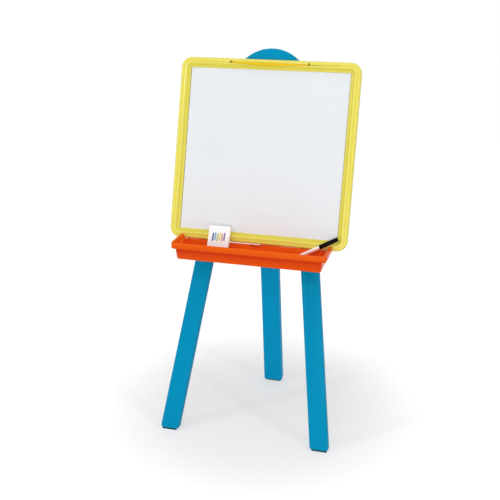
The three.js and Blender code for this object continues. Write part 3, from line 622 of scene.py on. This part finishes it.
frame_front = frame_half("frame_front", -1)
frame_back = frame_half("frame_back", 1)
clip_half = 0.110
slot_inner, slot_outer = clip_half - 0.0018, clip_half + 0.0044
slot_low, slot_high = board_top - 0.0136, board_top - 0.0072
for side in (-1, 1):
    slot_ends = sorted((side * slot_inner, side * slot_outer))
    cut(frame_front, block(
        (slot_ends[0], board_plane - 0.013, slot_low),
        (slot_ends[1], board_plane - 0.003, slot_high),
    ))
screw_inset, screw_spacing, screw_seat = 0.0098, 0.19, 0.0078
frame_screw_places = []
for side in (-1, 1):
    aside = side * (half_board - screw_inset)
    frame_screw_places += [(aside, along * screw_spacing) for along in (-1, 0, 1)]
    frame_screw_places.append((0, aside))
for x, z in frame_screw_places:
    middle = board_middle + z
    cut(frame_back, round_bar(
        0.0039, (x, board_plane + screw_seat, middle), (x, board_plane + 0.02, middle)
    ))
for half in (frame_front, frame_back):
    soften(half, 0.0003, sharper_than=25, smooth_below=32)
lean_back(frame_front, frame_back)

frame_yellow = moulded(
    "frame_yellow", linear(227, 215, 76), linear(246, 236, 150), 0.26, specular=0.42
)
tree, shader, skin, place = opened(frame_yellow)


def unleaned(tree, place, foot, angle):
    """A place on a piece that leans back by an angle from its foot, as if it stood upright."""
    node = tree.nodes.new("ShaderNodeMapping")
    node.vector_type = "TEXTURE"
    node.inputs["Location"].default_value = foot
    node.inputs["Rotation"].default_value = (-angle, 0, 0)
    tree.links.new(place, node.inputs["Vector"])
    return axes(tree, node.outputs[0])


on_frame = unleaned(tree, place, (0, toe_line, 0), lean)
# How far in from the frame's outline a point of the rail is, round the corners as well.
squares = []
for along, middle in (("X", 0.0), ("Z", board_middle)):
    off = math_node(tree, "ABSOLUTE", math_node(tree, "SUBTRACT", on_frame[along], middle))
    past_start = math_node(tree, "SUBTRACT", off, half_board - board_corner)
    squares.append(math_node(tree, "POWER", math_node(tree, "MAXIMUM", past_start, 0.0), 2.0))
from_corner = math_node(tree, "SQRT", math_node(tree, "ADD", *squares))
inset = math_node(tree, "SUBTRACT", board_corner, from_corner)
inset_share = math_node(tree, "DIVIDE", inset, rail_width)
# The two crests are painted paler as highlights, and the hollows beside them and the slope to the
# lip a deeper yellow, as painted shade.
crest_light_levels = (
    (0, 0.3), (0.11, 0.45), (0.2, 1.0), (0.3, 0.35), (0.4, 0.15), (0.5, 0.8), (0.56, 1.0),
    (0.64, 0.35), (0.74, 0.05), (0.93, 0.1), (1.0, 0.5),
)
crest_light_stops = [(position, (level, level, level, 1)) for position, level in crest_light_levels]
painted_crest_light = colour_ramp(tree, inset_share, crest_light_stops)
crest_lit_yellow = mixed(tree, painted_crest_light, linear(216, 204, 62), linear(240, 229, 106))
# The two slots of the paper clip are painted dark, as painted shade in their depth.
from_centre = math_node(tree, "ABSOLUTE", on_frame["X"])
beside_clip = math_node(tree, "COMPARE", from_centre, clip_half + 0.0014, 0.0036)
below_top = math_node(tree, "COMPARE", on_frame["Z"], (slot_low + slot_high) / 2, 0.0038)
below_crest = math_node(tree, "GREATER_THAN", on_frame["Y"], board_plane - 0.0096)
in_slot = math_node(
    tree, "MULTIPLY", math_node(tree, "MULTIPLY", beside_clip, below_top), below_crest
)
slot_shaded = mixed(tree, in_slot, crest_lit_yellow, linear(74, 60, 12))
toned_yellow = mixed(tree, 0.8, skin.outputs["Colour"], slot_shaded)
tree.links.new(toned_yellow, shader.inputs["Base Color"])
for half, node in ((frame_front, "board_frame_front"), (frame_back, "board_frame_back")):
    half.data.materials.clear()
    half.data.materials.append(frame_yellow)
    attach(half, "board")
    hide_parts(node)

# ---------------------------------------------------------------------------------------------
# Rest ribs. Low ribs moulded along the tray's step, a hair under the board's lower edge, that
# carry the board when it is leaned on. They stop short of the finger notch.
step_top, step_end, notch_end = 0.567, 0.203, 0.017
for name, low_x, high_x in (
    ("tray_rib_left", -step_end, -0.100),
    ("tray_rib_right", notch_end, step_end),
):
    rib = block((low_x, board_plane - 0.0088, step_top - 0.0003),
                (high_x, board_plane - 0.0068, step_top + 0.0022))
    rib.name = name
    soften(rib, 0.0006, segments=3)
    lean_back(rib)
    rib.data.materials.append(tray_orange)
    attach(rib, "front_frame")

# ---------------------------------------------------------------------------------------------
# Paper clip. A bowed yellow bar along the top rail that grips a sheet of paper against it. It
# turns on two pins in slots in the rail.
clip = from_solid("clip_bar", "paper_clip")
soften(clip, 0.0003)
clip_yellow = moulded(
    "clip_yellow", linear(234, 193, 22), linear(250, 230, 120), 0.34, specular=0.12
)
clip.data.materials.append(clip_yellow)
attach(clip, "paper_clip")
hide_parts("paper_clip")

# ---------------------------------------------------------------------------------------------
# Chalk pack. A glued carton of folded white card with a tucked flap at each end, printed with a
# row of plain coloured bars, and six sticks of chalk inside it.
card_white = moulded(
    "card_white", linear(244, 243, 243), linear(232, 230, 226), 0.6, grain=1500.0,
    depth=0.00002, specular=0.2, scuffs=0.2,
)
carton_width, carton_depth, carton_height, card = 0.061, 0.013, 0.079, 0.0006
carton_left, carton_foot = -0.1335, 0.1036
carton_lean = math.radians(31)
tray_wall, carton_gap = 0.0028, 0.0004
carton_place = Vector((
    carton_left,
    carton_foot + toe_line,
    tray_floor + tray_wall + carton_gap + carton_depth * math.sin(carton_lean),
))


def lean_carton(*pieces):
    """Leans pieces modelled upright at the origin back in the tray, where the carton is."""
    for piece in pieces:
        only(piece)
        piece.rotation_euler = (-carton_lean, 0, 0)
        piece.location = carton_place
        bpy.ops.object.transform_apply(location=True, rotation=True, scale=True)


def pick(piece, kind, chosen):
    """In edit mode, selects the edges or faces whose place and direction pass a test."""
    bpy.ops.mesh.select_mode(type=kind)
    bpy.ops.mesh.select_all(action="DESELECT")
    bpy.ops.object.mode_set(mode="OBJECT")
    shape = piece.data
    if kind == "FACE":
        for face in shape.polygons:
            face.select = chosen(face.center, face.normal)
    else:
        for edge in shape.edges:
            one, other = (shape.vertices[i].co for i in edge.vertices)
            edge.select = chosen((one + other) / 2, other - one)
    bpy.ops.object.mode_set(mode="EDIT")


sleeve = block((0, 0, 0), (carton_width, carton_depth, carton_height))
sleeve.name = "chalk_carton"
bpy.ops.object.mode_set(mode="EDIT")
pick(sleeve, "FACE", lambda place, normal: abs(normal.z) > 0.9)
bpy.ops.mesh.delete(type="FACE")
pick(sleeve, "EDGE", lambda middle, way: abs(way.z) > 0.01)
bpy.ops.mesh.bevel(offset=0.0007, segments=3, affect="EDGES")
bpy.ops.object.mode_set(mode="OBJECT")
apply_modifier(sleeve, "SOLIDIFY", thickness=card, offset=-1)
soften(sleeve, 0.0001, 1)

flap_inset, flap_low, flap_high = 0.00095, 0.0002, 0.0008
base_flap = block(
    (flap_inset, flap_inset, flap_low),
    (carton_width - flap_inset, carton_depth - flap_inset, flap_high),
)
base_flap.name = "chalk_carton_flap_low"
bpy.ops.object.mode_set(mode="EDIT")
pick(base_flap, "EDGE", lambda middle, way: abs(way.z) > 0.0004 and middle.y < 0.006)
bpy.ops.mesh.bevel(offset=0.0016, segments=4, affect="EDGES")
bpy.ops.object.mode_set(mode="OBJECT")
soften(base_flap, 0.00012, 1)
top_flap = bpy.data.objects.new("chalk_carton_flap_top", base_flap.data.copy())
bpy.context.scene.collection.objects.link(top_flap)
only(top_flap)
top_flap.location = (0, 0, carton_height - 0.001)
bpy.ops.object.transform_apply(location=True, rotation=True, scale=True)
lean_carton(sleeve, base_flap, top_flap)

# The sleeve's white is paler and bluer than the flaps' card: painted light, against the orange
# light the tray throws on it.
carton_print = moulded(
    "carton_print", linear(252, 255, 255), linear(232, 230, 226), 0.55, grain=1500.0,
    depth=0.00002, specular=0.25, scuffs=0.2,
)
tree, shader, skin, place = opened(carton_print)
on_carton = unleaned(tree, place, carton_place, carton_lean)
bar_count, bar_pitch, bar_half, bar_spine = 6, 0.0066, 0.0024, 0.0095
bar_height, bar_step = 0.0455, 0.003
bars_left = (carton_width - bar_count * bar_pitch) / 2
across = math_node(tree, "SUBTRACT", on_carton["X"], bars_left)
counted = math_node(tree, "DIVIDE", across, bar_pitch)
number = math_node(tree, "FLOOR", counted)
off_middle = math_node(tree, "SUBTRACT", math_node(tree, "FRACT", counted), 0.5)
aside = math_node(tree, "MULTIPLY", off_middle, bar_pitch)
odd = math_node(tree, "MODULO", number, 2.0)
bar_middle = math_node(tree, "MULTIPLY_ADD", odd, bar_step, bar_height)
above = math_node(tree, "ABSOLUTE", math_node(tree, "SUBTRACT", on_carton["Z"], bar_middle))
beyond = math_node(tree, "MAXIMUM", math_node(tree, "SUBTRACT", above, bar_spine), 0.0)
squared = math_node(tree, "ADD", math_node(tree, "POWER", aside, 2.0),
                    math_node(tree, "POWER", beyond, 2.0))
from_spine = math_node(tree, "SQRT", squared)
in_bar = spread(tree, from_spine, bar_half, bar_half - 0.0002)
printed = in_bar
for limit in (
    math_node(tree, "GREATER_THAN", counted, 0.0),
    math_node(tree, "LESS_THAN", counted, float(bar_count)),
    math_node(tree, "LESS_THAN", on_carton["Y"], 0.0004),
):
    printed = math_node(tree, "MULTIPLY", printed, limit)
ink_colours = (
    linear(46, 84, 140), linear(128, 178, 214), linear(176, 200, 130), linear(232, 210, 110),
    linear(214, 160, 128), linear(138, 104, 158),
)
ink_stops = [(step / bar_count, ink) for step, ink in enumerate(ink_colours)]
bar_share = math_node(tree, "DIVIDE", math_node(tree, "ADD", number, 0.5), float(bar_count))
inks = colour_ramp(tree, bar_share, ink_stops, "CONSTANT")
inked = mixed(tree, printed, skin.outputs["Colour"], inks)
tree.links.new(inked, shader.inputs["Base Color"])

sleeve.data.materials.clear()
sleeve.data.materials.append(carton_print)
for flap in (base_flap, top_flap):
    flap.data.materials.clear()
    flap.data.materials.append(card_white)
for card_piece, node in (
    (sleeve, "chalk_carton_sleeve"),
    (base_flap, "chalk_carton_base"),
    (top_flap, "chalk_carton_lid"),
):
    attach(card_piece, "chalk_pack")
    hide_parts(node)


def turned(name, profile, sides=32):
    """A turned piece, upright: a disc drawn up through each radius and height of its profile."""
    radius, height = profile[0]
    bpy.ops.mesh.primitive_circle_add(
        vertices=sides, radius=radius, fill_type="NGON", location=(0, 0, height)
    )
    piece = bpy.context.object
    piece.name = name
    bpy.ops.object.transform_apply(location=True, rotation=True, scale=True)
    bpy.ops.object.mode_set(mode="EDIT")
    bpy.ops.mesh.select_all(action="SELECT")
    for next_radius, next_height in profile[1:]:
        rise = (0, 0, next_height - height)
        bpy.ops.mesh.extrude_region_move(TRANSFORM_OT_translate={"value": rise})
        wider = next_radius / radius
        bpy.ops.transform.resize(value=(wider, wider, 1), center_override=(0, 0, next_height))
        radius, height = next_radius, next_height
    bpy.ops.mesh.select_all(action="SELECT")
    bpy.ops.mesh.normals_make_consistent(inside=False)
    bpy.ops.object.mode_set(mode="OBJECT")
    bpy.ops.object.shade_smooth_by_angle(angle=math.radians(35))
    return piece


chalk = moulded(
    "chalk", linear(238, 234, 222), linear(250, 248, 240), 0.9, grain=2500.0, depth=0.00012,
    specular=0.1, scuffs=0.5,
)
stick_count = 6
stick_pitch = (carton_width - 2 * card) / stick_count
stick_shape = turned("chalk_stick", (
    (0.0040, 0.0024), (0.0045, 0.0028), (0.0047, 0.0036), (0.0041, 0.0740), (0.0038, 0.0750),
    (0.0034, 0.0754),
), 20)
for count in range(stick_count):
    stick = bpy.data.objects.new(f"chalk_{count + 1}", stick_shape.data.copy())
    bpy.context.scene.collection.objects.link(stick)
    only(stick)
    stick.location = (card + (count + 0.5) * stick_pitch, carton_depth / 2, 0)
    bpy.ops.object.transform_apply(location=True, rotation=True, scale=True)
    lean_carton(stick)
    stick.data.materials.append(chalk)
    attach(stick, "chalk_pack")
    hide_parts(f"chalk_stick_{count + 1}")
bpy.data.objects.remove(stick_shape, do_unlink=True)

# ---------------------------------------------------------------------------------------------
# Marker. A dry-wipe pen with a white plastic barrel, a felt nib and a black cap that pulls off.
# It leans against the board's frame, with its foot in the tray.
marker_end, cap_length, cap_radius, cap_depth = 0.130, 0.055, 0.006, 0.052
marker_tilt = math.radians(61.3)
marker_x, marker_foot = 0.118, 0.5413
crest_height, marker_gap = 0.0115, 0.00035
marker_step = marker_end - cap_length
barrel = turned("marker_body", (
    (0.0032, 0.0), (0.0038, 0.0003), (0.0040, 0.0012), (0.0046, 0.0013), (0.0050, 0.0018),
    (0.0050, 0.0100), (0.0048, 0.0102), (0.0048, 0.0106), (0.0050, 0.0108),
    (0.0050, marker_step - 0.0010), (0.0049, marker_step - 0.0004),
    (0.0041, marker_step - 0.0002), (0.0040, marker_step + 0.0140),
    (0.0029, marker_step + 0.0200), (0.0027, marker_step + 0.0280),
    (0.00195, marker_step + 0.0280), (0.00195, marker_step + 0.0180),
), 40)
nib = turned("marker_tip", (
    (0.0016, marker_step + 0.01835), (0.0016, marker_step + 0.0302),
    (0.0014, marker_step + 0.0316), (0.0010, marker_step + 0.0328),
    (0.0007, marker_step + 0.0333),
), 20)
cap = turned("marker_lid", (
    (0.0046, marker_step), (0.0058, marker_step), (cap_radius, marker_step + 0.0003),
    (cap_radius, marker_step + 0.0040), (0.00575, marker_step + 0.0043),
    (0.00575, marker_step + 0.0050), (cap_radius, marker_step + 0.0053),
    (cap_radius, marker_end - 0.0022), (0.0056, marker_end - 0.0009),
    (0.0047, marker_end - 0.0002), (0.0030, marker_end),
), 40)
only(cap)
bpy.ops.object.mode_set(mode="EDIT")
pick(cap, "FACE", lambda place, normal: normal.z < -0.9)
bpy.ops.mesh.extrude_region_move(TRANSFORM_OT_translate={"value": (0, 0, cap_depth)})
bpy.ops.object.mode_set(mode="OBJECT")
for part in (barrel, nib, cap):
    only(part)
    part.rotation_euler = (0, marker_tilt, 0)
    part.location = (
        marker_x, board_plane - crest_height - cap_radius - marker_gap, marker_foot,
    )
    bpy.ops.object.transform_apply(location=True, rotation=True, scale=True)
lean_back(barrel, nib, cap)
marker_white = moulded(
    "marker_white", linear(253, 250, 246), linear(235, 232, 228), 0.3, specular=0.3
)
marker_black = moulded(
    "marker_black", linear(6, 4, 3), linear(34, 32, 32), 0.2, specular=0.05
)
felt = moulded(
    "marker_felt", linear(22, 22, 25), linear(50, 50, 54), 0.95, grain=3000.0, depth=0.0002,
    specular=0.1,
)
for part, finish, node, body, slot in (
    (barrel, marker_white, "marker_barrel", "marker", "marker_white"),
    (nib, felt, "marker_nib", "marker", "marker_felt"),
    (cap, marker_black, "marker_cap", "marker_cap", "marker_black"),
):
    part.data.materials.append(finish)
    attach(part, body)
    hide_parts(node)

# ---------------------------------------------------------------------------------------------
# Hinge pin. A zinc-plated steel rod with chamfered ends, held in the head, that the rear leg
# turns on.
plated = bpy.data.materials.new("plated_steel")
plated.use_nodes = True
tree = plated.node_tree
shader = tree.nodes["Principled BSDF"]
place = tree.nodes.new("ShaderNodeTexCoord").outputs["Object"]
drawn = drawn_out(tree, place, (0, 0, 0), (1, 12, 12))
drawing_lines = noise(tree, drawn, 160.0, 3.0)
clouding = noise(tree, place, 90.0, 3.0)
tree.links.new(mixed(tree, clouding, linear(170, 173, 178), linear(208, 209, 210)),
               shader.inputs["Base Color"])
tree.links.new(spread(tree, drawing_lines, 0.2, 0.8, 0.24, 0.42), shader.inputs["Roughness"])
shader.inputs["Metallic"].default_value = 1.0
bump = tree.nodes.new("ShaderNodeBump")
bump.inputs["Distance"].default_value = 0.00002
bump.inputs["Strength"].default_value = 0.5
tree.links.new(drawing_lines, bump.inputs["Height"])
tree.links.new(bump.outputs["Normal"], shader.inputs["Normal"])

pin_half = 0.049
pin = turned("pin_of_hinge", (
    (0.0032, -pin_half), (0.0040, 0.0008 - pin_half), (0.0040, pin_half - 0.0008),
    (0.0032, pin_half),
))
pin_low, pin_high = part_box("hinge_pin")
only(pin)
pin.rotation_euler = (0, math.radians(90), 0)
pin.location = (Vector(pin_low) + Vector(pin_high)) / 2
bpy.ops.object.transform_apply(location=True, rotation=True, scale=True)
pin.data.materials.append(plated)
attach(pin, "front_frame")
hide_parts("hinge_pin")

# ---------------------------------------------------------------------------------------------
# Screws. Pan-headed and cross-recessed, zinc plated: six through the cover of the head, four
# from inside the legs into the tray, and eight through the back of the board's frame.
pan_head = turned("pan_head", (
    (0.0006, -0.0140), (0.0011, -0.0130), (0.0016, -0.0118), (0.0016, 0.0), (0.0037, 0.0),
    (0.0037, 0.0008), (0.0034, 0.0013), (0.0027, 0.0018), (0.0016, 0.00205), (0.0006, 0.0021),
), 24)
cross_reach, cross_half = 0.0020, 0.00045
for x, y in ((cross_reach, cross_half), (cross_half, cross_reach)):
    cut(pan_head, block((-x, -y, 0.0008), (x, y, 0.0030)))
only(pan_head)
bpy.ops.object.shade_smooth_by_angle(angle=math.radians(35))


def leg_middle(up):
    """How far the middle of a front leg is from the middle of the easel, at a height up it."""
    return 0.2244 - 0.135 * up


cover_seat, tray_screw_seat = 0.0242, 0.00835
cover_places = [
    (0, 1.098), (-leg_middle(1.0), 1.0), (leg_middle(1.0), 1.0), (0, 0.986), (-0.06, 0.9),
    (0.06, 0.9),
]
screw_places = [
    (f"cover_screw_{count + 1}", (x, cover_seat, up), 1.0, "front_frame")
    for count, (x, up) in enumerate(cover_places)
]
tray_screw_height = 0.557
for count, aside in enumerate((-0.011, 0.011)):
    for side, way in (("right", 1), ("left", -1)):
        off_middle = way * (leg_middle(tray_screw_height) + aside)
        place = (off_middle, tray_screw_seat, tray_screw_height)
        screw_places.append((f"tray_screw_{side}_{count + 1}", place, 1.08, "front_frame"))
for count, (x, z) in enumerate(frame_screw_places):
    place = (x, board_plane + screw_seat + 0.00055, board_middle + z)
    screw_places.append((f"frame_screw_{count + 1}", place, 0.9, "board"))

for node, place, wider, body in screw_places:
    screw = bpy.data.objects.new(node.replace("screw", "pan_head_screw"), pan_head.data.copy())
    bpy.context.scene.collection.objects.link(screw)
    only(screw)
    screw.scale = (wider, wider, 1)
    screw.rotation_euler = (-math.radians(90), 0, 0)
    screw.location = place
    bpy.ops.object.transform_apply(location=True, rotation=True, scale=True)
    lean_back(screw)
    screw.data.materials.clear()
    screw.data.materials.append(plated)
    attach(screw, body)
    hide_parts(node)
bpy.data.objects.remove(pan_head, do_unlink=True)
